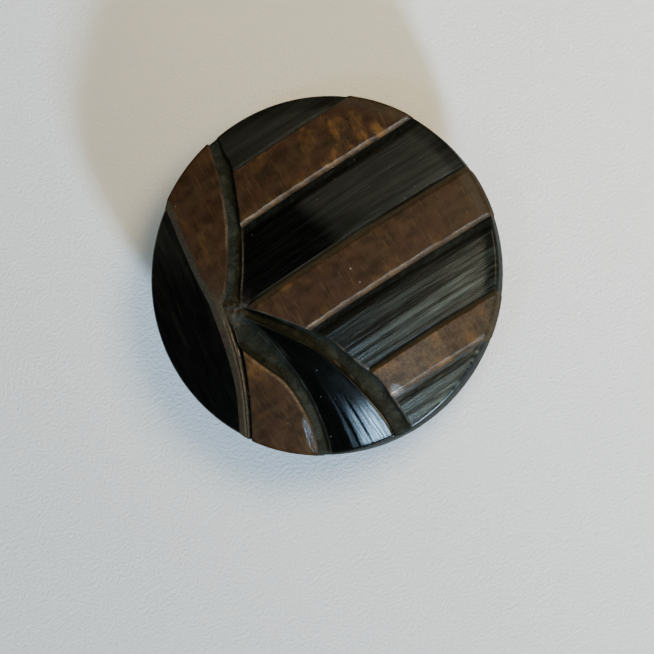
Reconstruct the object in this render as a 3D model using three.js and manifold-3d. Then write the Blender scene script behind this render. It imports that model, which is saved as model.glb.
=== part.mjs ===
// A large carved coat button, 38 mm across, with a wire loop behind it for the thread.
// The front is a shallow dome in two layers: a thick black body under a thin brown layer.
// The carver cut through the brown down to the black, so the brown is left as separate islands.
// Units are millimetres. +Z is the button's axis, front face up. Z = 0 is the lowest point of the loop.
import * as THREE from "three";
import { mergeVertices } from "three/addons/utils/BufferGeometryUtils.js";
import Module from "manifold-3d";

const wasm = await Module();
wasm.setup();

// Overall sizes
const RADIUS = 19; // outside of the brown layer
const DOME_RISE = 2.4; // the middle of the front above its edge
const WALL_HEIGHT = 3.2; // side wall, from the back face to the edge of the dome
const SHANK_DROP = 6; // how far the loop stands out of the back
const BACK_Z = SHANK_DROP;
const TOP_Z = BACK_Z + WALL_HEIGHT + DOME_RISE;
const GLUE_LINE = 0.03; // gap between pieces that are bonded or seated together

// The two layers
const BROWN_DEPTH = 0.6; // brown layer on the dome
const BROWN_WALL = 0.15; // brown layer on the side wall
const BODY_RADIUS = RADIUS - BROWN_WALL;
const EDGE_ROUND = 0.35; // rounded corner between dome and side wall
const WALL_TAPER = 0.15; // the side wall leans in by this much towards the back
const BACK_ROUND = 0.4; // rounded corner between side wall and back
const BROWN_HEM = 0.3; // the brown layer stops this far above the back face

// Carving
const GROOVE_DEPTH = 1.15; // floor of the three curved grooves, below the dome
const RIM_EASE = 0.55; // share of every depth that is lost at the rim, where the cutter runs out
const BLACK_LEAF_DEPTH = 0.2; // crest of the black leaf, below the dome
const STEM_DEPTH = 0.18; // top of the narrow stem, below the dome
const BEVEL_DEPTH = 0.57; // drop of the bevel along each edge of a band

// The diagonal bands run at this slope. Each is given by its distance from the centre, square to the bands:
// top and foot of the bevel on its upper side, then top and foot of the bevel on its lower side.
const BAND_ANGLE = THREE.MathUtils.degToRad(32.6);
const BANDS = {
  brown_upper_band: { highFoot: 14.5, highTop: 14.2, lowTop: 9.2, lowFoot: 8.8 },
  brown_middle_band: { highFoot: 1.3, highTop: 0.55, lowTop: -4.15, lowFoot: -4.55 },
  brown_lower_band: { highFoot: -11.5, highTop: -12.0, lowTop: -14.85, lowFoot: -15.25 },
};

// Shank: a bent brass wire whose feet are cemented into a pocket, and a thin plate round its legs
const WIRE_RADIUS = 0.65;
const LOOP_HALF_WIDTH = 2.6; // to the middle of the wire
const FOOT_BEND = 0.9;
const FOOT_LENGTH = 0.5;
const FOOT_Z = BACK_Z + 1.7;
const PLATE_RADIUS = 5.6;
const PLATE_RECESS = 0.45;
const PLATE_PROUD = 0.08;
const PLATE_CHAMFER = 0.15;
const POCKET_RADIUS = 4.4;
const POCKET_TOP_Z = BACK_Z + 2.8;

// Fineness of the faceted surfaces
const ROUND_STEPS = 80;
const SHANK_STEPS = 48;
const WIRE_STEPS = 44;
const WIRE_SIDE_STEPS = 6;
const BEVEL_STEPS = 14;
const EDGE_STEPS = 3;
const DOME_RINGS = 8;
const OUTLINE_STEPS = 3;

const QUARTER_HANDLE = 0.5523; // handle length of a cubic curve that stands for a quarter circle
const CLEAR = 1; // how far a cutting shape runs past what it cuts

const blackBakelite = new THREE.MeshStandardMaterial({ color: 0x1b1d1c, roughness: 0.22, metalness: 0 });
const brownLayer = new THREE.MeshStandardMaterial({ color: 0x4a3727, roughness: 0.55, metalness: 0 });
const brass = new THREE.MeshStandardMaterial({ color: 0xa98548, roughness: 0.35, metalness: 1 });
const cement = new THREE.MeshStandardMaterial({ color: 0x8a8375, roughness: 0.9, metalness: 0 });

// A closed geometry as a solid that can be joined and cut.
function solid(geometry) {
  const loose = geometry.index ? geometry.toNonIndexed() : geometry;
  const bare = new THREE.BufferGeometry().setAttribute("position", loose.getAttribute("position"));
  const merged = mergeVertices(bare, 1e-4);
  const vertProperties = merged.attributes.position.array;
  const triVerts = new Uint32Array(merged.index.array);
  return new wasm.Manifold(new wasm.Mesh({ numProp: 3, vertProperties, triVerts }));
}

// A named mesh made from a finished solid.
function piece(name, shape, material) {
  const { vertProperties, triVerts } = shape.getMesh();
  const geometry = new THREE.BufferGeometry();
  geometry.setAttribute("position", new THREE.BufferAttribute(vertProperties, 3));
  geometry.setIndex(new THREE.BufferAttribute(triVerts, 1));
  geometry.computeVertexNormals();
  const mesh = new THREE.Mesh(geometry, material);
  mesh.name = name;
  return mesh;
}

// A profile of [radius, height] points, from the axis round to the axis, turned about the button's axis.
function turned(profile, steps = ROUND_STEPS) {
  const points = profile.map(([radius, height]) => new THREE.Vector2(radius, height));
  return solid(new THREE.LatheGeometry(points, steps).rotateX(Math.PI / 2));
}

function disc(radius, lowZ, highZ, steps = ROUND_STEPS) {
  return turned([[0, lowZ], [radius, lowZ], [radius, highZ], [0, highZ]], steps);
}

// Height of the dome at a distance from the axis, lowered by drop in the middle and by less at the rim.
function domeZ(radius, drop) {
  const out = radius / RADIUS;
  return TOP_Z - drop * (1 - RIM_EASE * Math.min(out, 1) ** 8) - DOME_RISE * out ** 2;
}

// The front and side wall of a layer, from the foot of the wall up and over to the axis.
function frontProfile(radius, drop, footZ, footRadius) {
  const corner = new THREE.Vector2(radius, domeZ(radius, drop));
  const inner = new THREE.Vector2(radius - EDGE_ROUND, domeZ(radius - EDGE_ROUND, drop));
  const lower = new THREE.Vector2(radius, corner.y - EDGE_ROUND);
  const edge = new THREE.QuadraticBezierCurve(lower, corner, inner).getPoints(EDGE_STEPS);
  const profile = [[footRadius, footZ], ...edge.map((p) => [p.x, p.y])];
  for (let ring = DOME_RINGS - 1; ring >= 0; ring--) {
    const r = (inner.x * ring) / DOME_RINGS;
    profile.push([r, domeZ(r, drop)]);
  }
  return profile;
}

// Everything below the dome lowered by drop.
function underDome(drop) {
  const reach = RADIUS + 2 * CLEAR;
  const profile = [[0, 0], [reach, 0]];
  for (let ring = DOME_RINGS + 1; ring >= 0; ring--) {
    const r = (reach * ring) / (DOME_RINGS + 1);
    profile.push([r, domeZ(r, drop)]);
  }
  return turned(profile);
}

// An upright prism over an outline given as runs of points: a run of more than two is a smooth curve.
function prism(...runs) {
  const shape = new THREE.Shape();
  runs.forEach((run, index) => {
    const [first, ...rest] = run.map(([x, y]) => new THREE.Vector2(x, y));
    if (index === 0) shape.moveTo(first.x, first.y);
    else shape.lineTo(first.x, first.y);
    if (rest.length > 1) shape.splineThru(rest);
    else if (rest.length === 1) shape.lineTo(rest[0].x, rest[0].y);
  });
  const settings = { depth: TOP_Z + 2 * CLEAR, bevelEnabled: false, curveSegments: OUTLINE_STEPS };
  return solid(new THREE.ExtrudeGeometry(shape, settings).translate(0, 0, -CLEAR));
}

// Carved edges in plan, each drawn from the hub, where the grooves meet, out past the rim.
const LEAF_RIGHT = [[-10.7, -3.1], [-10.1, -0.5], [-10.2, 5], [-11.1, 9.4], [-12.0, 12], [-13.9, 16.6]];
const LEAF_LEFT = [[-12.1, -3.1], [-14.0, 0.3], [-15.6, 3.5], [-16.9, 6.3], [-19.4, 11.0]];
const FAN_LEFT = [[-8.6, -3.2], [-8.4, 1], [-8.8, 6], [-9.9, 11.1], [-11.2, 13.4], [-12.5, 16.8]];
const FAN_BELOW = [
  [-8.3, -3.4], [-4.6, -4.6], [-1.4, -5.8], [1.6, -7.3], [4.6, -9.7], [6.5, -11.1], [8.2, -13.6], [11.6, -19],
];
const BLACK_LEAF_ABOVE = [
  [-8.2, -4.4], [-4, -6.1], [0, -8], [3, -10.3], [6, -13.4], [7.8, -15.8], [9.3, -19.4],
];
const BLACK_LEAF_BELOW = [
  [-8.2, -4.4], [-6, -6.3], [-3.5, -9.2], [-1.6, -11.9], [-0.2, -14.6], [0.8, -17.5], [1.3, -20.4],
];
const LOWER_LEAF_RIGHT = [
  [-8.2, -8.1], [-5.7, -9.9], [-3.6, -11.4], [-2, -13.6], [-0.8, -16.2], [0.1, -20.4],
];
const LOWER_LEAF_LEFT = [[-8.2, -8.1], [-7.7, -11.5], [-7.45, -14.5], [-7.4, -19.4]];
const STEM_RIGHT = [[-10.6, -3.15], [-8.9, -7.9], [-8.1, -11.6], [-7.8, -15], [-7.7, -19.4]];
const STEM_LEFT = [[-12.1, -3.15], [-10.4, -7.5], [-9.3, -11.4], [-8.9, -15], [-8.7, -19.4]];

const back = (run) => [...run].reverse();

const upperLeafArea = prism(LEAF_RIGHT, back(LEAF_LEFT));
const lowerLeafArea = prism(LOWER_LEAF_RIGHT, back(LOWER_LEAF_LEFT));
const stemArea = prism(STEM_RIGHT, back(STEM_LEFT));
const blackLeafArea = prism(BLACK_LEAF_BELOW, back(BLACK_LEAF_ABOVE));
const fanArea = prism(back(FAN_LEFT), FAN_BELOW, [[24, -19]], [[24, 24]], [[-12.5, 24]]);
const grooves = [
  prism(back(FAN_LEFT), LEAF_RIGHT), // between the upper leaf and the bands
  prism(back(FAN_BELOW), [[-8.7, -4.7]], BLACK_LEAF_ABOVE), // between the bands and the black leaf
  prism(back(LOWER_LEAF_RIGHT), [[-9.5, -4.9]], BLACK_LEAF_BELOW), // between the two lower leaves
];

const along = new THREE.Vector2(Math.cos(BAND_ANGLE), Math.sin(BAND_ANGLE));
const across = new THREE.Vector2(-along.y, along.x);

// Point in plan at a distance along and across the bands.
function bandPoint(run, offset) {
  return [along.x * run + across.x * offset, along.y * run + across.y * offset];
}

function bandArea({ highFoot, lowFoot }) {
  const reach = RADIUS + 3 * CLEAR;
  const corners = [[-reach, lowFoot], [reach, lowFoot], [reach, highFoot], [-reach, highFoot]];
  return prism(...corners.map(([run, offset]) => [bandPoint(run, offset)]));
}

// A wedge that follows the dome along a band's edge and slopes from top down to foot.
function bevelWedge(top, foot) {
  const reach = RADIUS + CLEAR;
  const [start, end] = [-reach, reach].map((run) => {
    const [x, y] = bandPoint(run, foot);
    return new THREE.Vector3(x, y, domeZ(Math.hypot(x, y), 0));
  });
  // The dome is a parabola, and so is its section over a straight edge: one quadratic curve, exactly.
  const [midX, midY] = bandPoint(0, foot);
  const middle = new THREE.Vector3(midX, midY, 2 * domeZ(foot, 0) - start.z);
  const path = new THREE.QuadraticBezierCurve3(start, middle, end);
  // The section's first axis points down and its second across the bands, towards the upper ones.
  const spread = 0.5 * (foot - top);
  const extra = 0.5 * BEVEL_DEPTH;
  const section = new THREE.Shape([
    new THREE.Vector2(BEVEL_DEPTH + extra, spread),
    new THREE.Vector2(-extra, spread),
    new THREE.Vector2(-extra, top - foot - spread),
  ]);
  const settings = { steps: BEVEL_STEPS, bevelEnabled: false, extrudePath: path };
  return solid(new THREE.ExtrudeGeometry(section, settings));
}

function makeBody() {
  const footRadius = BODY_RADIUS - WALL_TAPER;
  const cornerCut = BACK_ROUND * (1 - Math.SQRT1_2); // the middle of the rounded corner, in from each side
  const core = turned([
    [0, BACK_Z],
    [footRadius - BACK_ROUND, BACK_Z],
    [footRadius - cornerCut, BACK_Z + cornerCut],
    ...frontProfile(BODY_RADIUS, BROWN_DEPTH, BACK_Z + BACK_ROUND, footRadius),
  ]);
  const leafFootZ = BACK_Z + BACK_ROUND;
  const outer = turned([[0, leafFootZ], ...frontProfile(BODY_RADIUS, 0, leafFootZ, footRadius)]);
  const blackLeaf = blackLeafArea.intersect(underDome(BLACK_LEAF_DEPTH)).intersect(outer);
  const grooveFloor = underDome(GROOVE_DEPTH);
  let body = core.add(blackLeaf);
  for (const groove of grooves) body = body.subtract(groove.subtract(grooveFloor));
  const recess = disc(PLATE_RADIUS + GLUE_LINE, BACK_Z - CLEAR, BACK_Z + PLATE_RECESS, SHANK_STEPS);
  const pocket = disc(POCKET_RADIUS, BACK_Z - CLEAR, POCKET_TOP_Z, SHANK_STEPS);
  return piece("black_body", body.subtract(recess).subtract(pocket), blackBakelite);
}

// The whole brown layer before carving: over the dome and down the side wall.
function makeBrownShell() {
  const footZ = BACK_Z + BROWN_HEM;
  const outside = frontProfile(RADIUS, 0, footZ, RADIUS - WALL_TAPER);
  const insideRadius = BODY_RADIUS + GLUE_LINE;
  const inside = frontProfile(insideRadius, BROWN_DEPTH - GLUE_LINE, footZ, insideRadius - WALL_TAPER);
  return turned([...back(inside), ...outside]);
}

function makeBrownIslands() {
  const shell = makeBrownShell();
  const islands = [
    piece("brown_upper_leaf", shell.intersect(upperLeafArea), brownLayer),
    piece("brown_lower_leaf", shell.intersect(lowerLeafArea), brownLayer),
    piece("brown_stem", shell.intersect(stemArea).intersect(underDome(STEM_DEPTH)), brownLayer),
  ];
  for (const [name, band] of Object.entries(BANDS)) {
    const island = shell
      .intersect(fanArea)
      .intersect(bandArea(band))
      .subtract(bevelWedge(band.highTop, band.highFoot))
      .subtract(bevelWedge(band.lowTop, band.lowFoot));
    islands.push(piece(name, island, brownLayer));
  }
  return islands;
}

// The middle line of the bent wire: foot, leg, half circle, leg, foot.
function wirePath() {
  const archZ = WIRE_RADIUS + LOOP_HALF_WIDTH;
  const path = new THREE.CurvePath();
  const line = (a, b) => path.add(new THREE.LineCurve3(a, b));
  const quarter = (from, corner, to) => {
    const a = from.clone().lerp(corner, QUARTER_HANDLE);
    const b = to.clone().lerp(corner, QUARTER_HANDLE);
    path.add(new THREE.CubicBezierCurve3(from, a, b, to));
  };
  const at = (x, z) => new THREE.Vector3(x, 0, z);
  const half = LOOP_HALF_WIDTH;
  const bendZ = FOOT_Z - FOOT_BEND;
  line(at(-half - FOOT_BEND - FOOT_LENGTH, FOOT_Z), at(-half - FOOT_BEND, FOOT_Z));
  quarter(at(-half - FOOT_BEND, FOOT_Z), at(-half, FOOT_Z), at(-half, bendZ));
  line(at(-half, bendZ), at(-half, archZ));
  quarter(at(-half, archZ), at(-half, WIRE_RADIUS), at(0, WIRE_RADIUS));
  quarter(at(0, WIRE_RADIUS), at(half, WIRE_RADIUS), at(half, archZ));
  line(at(half, archZ), at(half, bendZ));
  quarter(at(half, bendZ), at(half, FOOT_Z), at(half + FOOT_BEND, FOOT_Z));
  line(at(half + FOOT_BEND, FOOT_Z), at(half + FOOT_BEND + FOOT_LENGTH, FOOT_Z));
  return path;
}

function wire(radius) {
  const section = new THREE.Shape().absarc(0, 0, radius, 0, 2 * Math.PI);
  const settings = {
    steps: WIRE_STEPS,
    curveSegments: WIRE_SIDE_STEPS,
    bevelEnabled: false,
    extrudePath: wirePath(),
  };
  return solid(new THREE.ExtrudeGeometry(section, settings));
}

function makeShank() {
  const looseWire = wire(WIRE_RADIUS + GLUE_LINE);
  const plateTop = BACK_Z + PLATE_RECESS - GLUE_LINE;
  const plateLow = BACK_Z - PLATE_PROUD;
  const plate = turned([
    [0, plateLow],
    [PLATE_RADIUS - PLATE_CHAMFER, plateLow],
    [PLATE_RADIUS, plateLow + PLATE_CHAMFER],
    [PLATE_RADIUS, plateTop],
    [0, plateTop],
  ], SHANK_STEPS);
  const plugTop = POCKET_TOP_Z - GLUE_LINE;
  const plug = disc(POCKET_RADIUS - GLUE_LINE, BACK_Z + PLATE_RECESS, plugTop, SHANK_STEPS);
  return [
    piece("shank_loop", wire(WIRE_RADIUS), brass),
    piece("shank_plate", plate.subtract(looseWire), brass),
    piece("cement_plug", plug.subtract(looseWire), cement),
  ];
}

const button = new THREE.Group();
button.add(makeBody(), ...makeBrownIslands(), ...makeShank());

export default button;
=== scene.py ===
# The looks of a large carved coat button: glossy black body, matte brown top layer, brass wire shank.
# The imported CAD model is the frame. Each piece below stands for one CAD node and is built in its place.
# Shapes are worked out in millimetres in the frame's axes and turned into metres when a mesh is made.
import math
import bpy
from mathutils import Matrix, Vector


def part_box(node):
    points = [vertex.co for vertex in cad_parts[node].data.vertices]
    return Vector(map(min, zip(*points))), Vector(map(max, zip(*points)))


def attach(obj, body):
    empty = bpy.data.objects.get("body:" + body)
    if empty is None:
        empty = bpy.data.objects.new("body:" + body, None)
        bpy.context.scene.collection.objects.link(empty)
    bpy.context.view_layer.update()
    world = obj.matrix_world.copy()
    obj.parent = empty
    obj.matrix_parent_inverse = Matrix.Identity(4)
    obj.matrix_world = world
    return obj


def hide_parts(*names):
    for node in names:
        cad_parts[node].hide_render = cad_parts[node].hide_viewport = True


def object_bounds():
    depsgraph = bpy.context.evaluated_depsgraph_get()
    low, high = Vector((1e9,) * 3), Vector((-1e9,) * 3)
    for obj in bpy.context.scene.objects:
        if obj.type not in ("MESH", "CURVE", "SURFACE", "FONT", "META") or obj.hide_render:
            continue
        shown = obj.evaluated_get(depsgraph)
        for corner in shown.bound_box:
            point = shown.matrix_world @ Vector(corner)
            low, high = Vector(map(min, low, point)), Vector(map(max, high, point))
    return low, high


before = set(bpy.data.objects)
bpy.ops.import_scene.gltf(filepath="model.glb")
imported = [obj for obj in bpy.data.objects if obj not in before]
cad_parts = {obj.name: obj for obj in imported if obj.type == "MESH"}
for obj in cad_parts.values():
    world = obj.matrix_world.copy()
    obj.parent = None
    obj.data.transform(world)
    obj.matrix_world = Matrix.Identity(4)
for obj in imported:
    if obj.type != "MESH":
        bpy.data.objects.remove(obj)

from types import SimpleNamespace

import bpy
import numpy as np
from mathutils import Matrix, Vector

cad_bounds = [list(corner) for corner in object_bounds()]

MM = 0.001
BODY = "root"

# Sizes that the frame gives
body_low, body_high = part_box("black_body")
BODY_RADIUS = (body_high.x - body_low.x) / 2 / MM
BACK_Z = body_low.z / MM
TOP_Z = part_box("brown_middle_band")[1].z / MM
plate_low, plate_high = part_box("shank_plate")
plug_low, plug_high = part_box("cement_plug")
loop_low, loop_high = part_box("shank_loop")

# Layers and edges
BROWN_DEPTH = 0.6  # brown layer on the dome
BROWN_WALL = 0.15  # brown layer on the side wall
RADIUS = BODY_RADIUS + BROWN_WALL
DOME_RISE = 2.4
RIM_EASE = 0.55  # share of every depth that is lost at the rim, where the cutter runs out
WALL_TAPER = 0.15
BACK_ROUND = 0.4
BROWN_HEM = 0.3
BLACK_RIM_ROUND = 0.4
BROWN_RIM_ROUND = 0.35
GROOVE_SIDE = -0.78  # level of a groove along its edges
GROOVE_DROP = 0.40  # and how much deeper its lowest line is
WALL_RUN = 0.16  # a carved wall leans out by this much over its height
UNDERCUT = 0.2  # how far a brown island goes into the black body below it

# The bands, by distance from the centre square to them: feet and tops of the bevels
BAND_ANGLE = math.radians(32.6)
BANDS = {
    "brown_upper_band": (8.8, 9.2, 14.2, 14.5),
    "brown_middle_band": (-4.55, -4.15, 0.55, 1.3),
    "brown_lower_band": (-15.25, -14.85, -12.0, -11.5),
}
# Level of the black panels between the bands, by the same distance: dark channels beside the feet
PANEL_LEVELS = [
    (-19.5, -0.60), (-16.4, -0.60), (-15.9, -0.68), (-15.6, -0.82), (-15.3, -0.80), (-15.0, -0.62),
    (-11.7, -0.62), (-11.5, -0.74), (-11.15, -0.52), (-10.4, -0.50), (-5.9, -0.60), (-5.4, -0.74),
    (-5.0, -0.82), (-4.6, -0.80), (-4.3, -0.62), (1.1, -0.62), (1.3, -0.74), (1.6, -0.45), (2.4, -0.44),
    (7.5, -0.62), (8.0, -0.80), (8.7, -0.86), (9.0, -0.62), (14.3, -0.62), (14.5, -0.68),
    (14.8, -0.54), (20.0, -0.52),
]

# Carved edges in plan, drawn from the hub, where the grooves meet, out past the rim
LEAF_RIGHT = [(-10.7, -3.13), (-10.1, -0.5), (-10.2, 5), (-11.1, 9.4), (-12.0, 12), (-13.9, 16.6)]
LEAF_LEFT = [(-12.1, -3.13), (-14.0, 0.3), (-15.6, 3.5), (-16.9, 6.3), (-19.4, 11.0)]
FAN_LEFT = [(-8.6, -3.2), (-8.4, 1), (-8.8, 6), (-9.9, 11.1), (-11.2, 13.4), (-12.5, 16.8)]
FAN_BELOW = [
    (-8.3, -3.4), (-4.6, -4.6), (-1.4, -5.8), (1.6, -7.3), (4.6, -9.7), (6.5, -11.1), (8.2, -13.6),
    (11.6, -19),
]
BLACK_LEAF_ABOVE = [(-8.2, -4.4), (-4, -6.1), (0, -8), (3, -10.3), (6, -13.4), (7.8, -15.8), (9.3, -19.4)]
BLACK_LEAF_BELOW = [
    (-8.2, -4.4), (-6, -6.3), (-3.5, -9.2), (-1.6, -11.9), (-0.2, -14.6), (0.8, -17.5), (1.3, -20.4),
]
LOWER_LEAF_RIGHT = [(-8.2, -8.1), (-5.7, -9.9), (-3.6, -11.4), (-2, -13.6), (-0.8, -16.2), (0.1, -20.4)]
LOWER_LEAF_LEFT = [(-8.2, -8.1), (-7.7, -11.5), (-7.45, -14.5), (-7.4, -19.4)]
STEM_RIGHT = [(-10.6, -3.14), (-8.9, -7.9), (-8.1, -11.6), (-7.8, -15), (-7.7, -19.4)]
STEM_LEFT = [(-12.1, -3.14), (-10.4, -7.5), (-9.3, -11.4), (-8.9, -15), (-8.7, -19.4)]
# Right-hand edge of everything to the left of the grooves, from the rim above to the rim below
LEFT_MASS = [
    (-13.9, 16.6), (-12.0, 12), (-11.1, 9.4), (-10.2, 5), (-10.1, -0.5), (-10.7, -3.1), (-10.2, -4.2),
    (-9.3, -5.6), (-8.3, -7.9), (-5.7, -9.9), (-3.6, -11.4), (-2, -13.6), (-0.8, -16.2), (0.1, -20.4),
]
HUB = (-9.2, -3.7)


# ------------------------------------ curves and noise

def step(low, high, x):
    """Smooth rise from 0 at low to 1 at high."""
    t = np.clip((x - low) / (high - low), 0, 1)
    return t * t * (3 - 2 * t)


def noise(x, y, seed):
    """Smooth seeded noise from -1 to 1, one lump per unit."""
    grid = np.random.default_rng(seed).random((256, 256))
    x, y = np.broadcast_arrays(np.asarray(x, float), np.asarray(y, float))
    i, j = np.floor(x).astype(int), np.floor(y).astype(int)
    u, v = x - i, y - j
    u, v = u * u * (3 - 2 * u), v * v * (3 - 2 * v)
    i0, j0, i1, j1 = i % 256, j % 256, (i + 1) % 256, (j + 1) % 256
    low = grid[i0, j0] * (1 - u) + grid[i1, j0] * u
    high = grid[i0, j1] * (1 - u) + grid[i1, j1] * u
    return 2 * (low * (1 - v) + high * v) - 1


def dome(x, y):
    """Height of the dome that the carving is cut into."""
    return TOP_Z - DOME_RISE * (x * x + y * y) / RADIUS**2


def ease(x, y):
    """What is left of a carved depth at a point: all of it in the middle, less near the rim."""
    return 1 - RIM_EASE * np.minimum(np.hypot(x, y) / RADIUS, 1) ** 8


def smooth_line(points, steps=10):
    """A smooth curve through points, as a Catmull-Rom spline."""
    p = np.array(points, float)
    before, after = np.vstack([p[:1], p[:-2]]), np.vstack([p[2:], p[-1:]])
    a, b = p[:-1], p[1:]
    run = []
    for t in np.arange(steps) / steps:
        places = (2 * t**3 - 3 * t**2 + 1) * a + (3 * t**2 - 2 * t**3) * b
        run.append(places + (t**3 - 2 * t**2 + t) * (b - before) / 2 + (t**3 - t**2) * (after - a) / 2)
    return np.vstack([np.stack(run, 1).reshape(-1, 2), p[-1:]])


def edge(points, upright=True):
    """Distance from a carved edge: positive to its right if it is upright, else above it."""
    line = smooth_line(points)
    along, off = (line[:, 1], line[:, 0]) if upright else (line[:, 0], line[:, 1])
    order = np.argsort(along)
    along, off = along[order], off[order]
    slope = np.gradient(off, along)

    def distance(x, y):
        here, side = (y, x) if upright else (x, y)
        return (side - np.interp(here, along, off)) / np.hypot(1, np.interp(here, along, slope))

    return distance


fan_left, fan_below = edge(FAN_LEFT), edge(FAN_BELOW, upright=False)
leaf_left, leaf_right = edge(LEAF_LEFT), edge(LEAF_RIGHT)
black_above, black_below = edge(BLACK_LEAF_ABOVE, upright=False), edge(BLACK_LEAF_BELOW)
lower_left, lower_right = edge(LOWER_LEAF_LEFT), edge(LOWER_LEAF_RIGHT)
stem_left, stem_right = edge(STEM_LEFT), edge(STEM_RIGHT)
mass_right = edge(LEFT_MASS)
ALONG = np.array([math.cos(BAND_ANGLE), math.sin(BAND_ANGLE)])
ACROSS = np.array([-ALONG[1], ALONG[0]])


def inside_fan(x, y):
    """Distance inside the fan of bands and panels, which ends at the grooves on its left and below it."""
    return np.minimum(fan_left(x, y), fan_below(x, y))


# ------------------------------------ meshes

def make(name, node, slot, material, points, faces, sharp, **attributes):
    """A piece from points in mm and faces, with edges past the sharp angle and named values at its points."""
    mesh = bpy.data.meshes.new(name)
    loops = np.concatenate([f.reshape(-1) for f in faces])
    sizes = np.concatenate([np.full(len(f), f.shape[1]) for f in faces])
    mesh.vertices.add(len(points))
    mesh.vertices.foreach_set("co", (points * MM).astype(np.float32).ravel())
    mesh.loops.add(len(loops))
    mesh.loops.foreach_set("vertex_index", loops.astype(np.int32))
    mesh.polygons.add(len(sizes))
    starts = np.concatenate([[0], np.cumsum(sizes)[:-1]])
    mesh.polygons.foreach_set("loop_start", starts.astype(np.int32))
    mesh.update(calc_edges=True)
    mesh.polygons.foreach_set("use_smooth", np.ones(len(sizes), bool))
    mesh.set_sharp_from_angle(angle=math.radians(sharp))
    for key, values in attributes.items():
        values = np.asarray(values, np.float32)
        kind, field = ("FLOAT", "value") if values.ndim == 1 else ("FLOAT_VECTOR", "vector")
        mesh.attributes.new(key, kind, "POINT").data.foreach_set(field, values.ravel())
    mesh.materials.append(material)
    piece = bpy.data.objects.new(name, mesh)
    bpy.context.scene.collection.objects.link(piece)
    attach(piece, BODY)
    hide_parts(node)


def quads(index, flip=False):
    """Four-sided faces between the points of a grid of indices."""
    corners = [index[:-1, :-1], index[1:, :-1], index[1:, 1:], index[:-1, 1:]]
    return np.stack(corners[::-1] if flip else corners, -1).reshape(-1, 4)


def closed_shell(top, under):
    """Points and faces of a closed body between two grids of the same shape."""
    index = np.arange(top.shape[0] * top.shape[1]).reshape(top.shape[:2])
    low = index + index.size
    sides = [
        (index[:, 0], low[:, 0], False),
        (index[:, -1], low[:, -1], True),
        (index[0], low[0], True),
        (index[-1], low[-1], False),
    ]
    faces = [quads(index), quads(low, flip=True)]
    faces += [quads(np.stack([a, b], 1), flip=flip) for a, b, flip in sides]
    return np.vstack([top.reshape(-1, 3), under.reshape(-1, 3)]), faces


def capped_tube(rows, start, end):
    """Points and faces of a tube through rows of points, closed by triangles to a point at either end."""
    turns = rows.shape[1]
    index = np.arange(rows.shape[0] * turns).reshape(-1, turns)
    caps = [
        np.column_stack([np.roll(index[0], -1), index[0], np.full(turns, index.size)]),
        np.column_stack([index[-1], np.roll(index[-1], -1), np.full(turns, index.size + 1)]),
    ]
    around = np.column_stack([index, index[:, :1]])
    return np.vstack([rows.reshape(-1, 3), [start, end]]), [quads(around, flip=True), *caps]


# ------------------------------------ material nodes

class Graph:
    """A material under construction, with short names for the nodes used here."""

    def __init__(self, name):
        self.material = bpy.data.materials.new(name)
        self.material.use_nodes = True
        self.tree = self.material.node_tree
        self.tree.nodes.clear()

    def add(self, kind, inputs, output=0, **settings):
        node = self.tree.nodes.new("ShaderNode" + kind)
        for key, value in settings.items():
            setattr(node, key, value)
        for key, value in inputs.items():
            if isinstance(value, bpy.types.NodeSocket):
                self.tree.links.new(value, node.inputs[key])
            else:
                node.inputs[key].default_value = value
        return node.outputs[output] if node.outputs else node

    def value(self, name, output="Fac"):
        """A named value of the mesh's points."""
        return self.add("Attribute", {}, output, attribute_name=name)

    def place(self):
        """Position on the object in mm, turned to run along and across the bands."""
        point = self.add("TexCoord", {}, "Object")
        return self.add("Mapping", {"Vector": point, "Scale": (1000,) * 3, "Rotation": (0, 0, -BAND_ANGLE)})

    def stretched(self, vector, scale):
        return self.add("VectorMath", {0: vector, 1: scale}, operation="MULTIPLY")

    def lumps(self, vector, scale, detail=2.0, rough=0.5, twist=0.0):
        inputs = {"Vector": vector, "Scale": scale, "Detail": detail, "Roughness": rough, "Distortion": twist}
        return self.add("TexNoise", inputs)

    def math(self, operation, a, b=0.0, c=0.0):
        return self.add("Math", {0: a, 1: b, 2: c}, operation=operation)

    def span(self, value, low, high, out_low=0.0, out_high=1.0):
        inputs = {"Value": value, "From Min": low, "From Max": high, "To Min": out_low, "To Max": out_high}
        return self.add("MapRange", inputs, interpolation_type="SMOOTHSTEP")

    def mix(self, share, a, b):
        colours = [c if isinstance(c, bpy.types.NodeSocket) else (*c, 1) for c in (a, b)]
        return self.add("Mix", {0: share, 6: colours[0], 7: colours[1]}, 2, data_type="RGBA")

    def specks(self, vector, scale, size, rarity):
        """Small round specks, one in each cell of a Voronoi pattern whose random value is past the rarity."""
        cells = self.add("TexVoronoi", {"Vector": vector, "Scale": scale}, "Distance")
        chance = self.add("SeparateColor", {0: cells.node.outputs["Color"]})
        dot = self.span(cells, size * 1.3 * scale, size * 0.6 * scale)
        return self.math("MULTIPLY", dot, self.math("GREATER_THAN", chance, rarity))

    def bump(self, height, depth_mm, strength, normal=None):
        inputs = {"Height": height, "Distance": depth_mm * MM, "Strength": strength}
        if normal:
            inputs["Normal"] = normal
        return self.add("Bump", inputs)

    def finish(self, **inputs):
        names = {key.replace("_", " "): value for key, value in inputs.items()}
        shader = self.add("BsdfPrincipled", names)
        self.add("OutputMaterial", {"Surface": shader})
        return self.material


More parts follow.
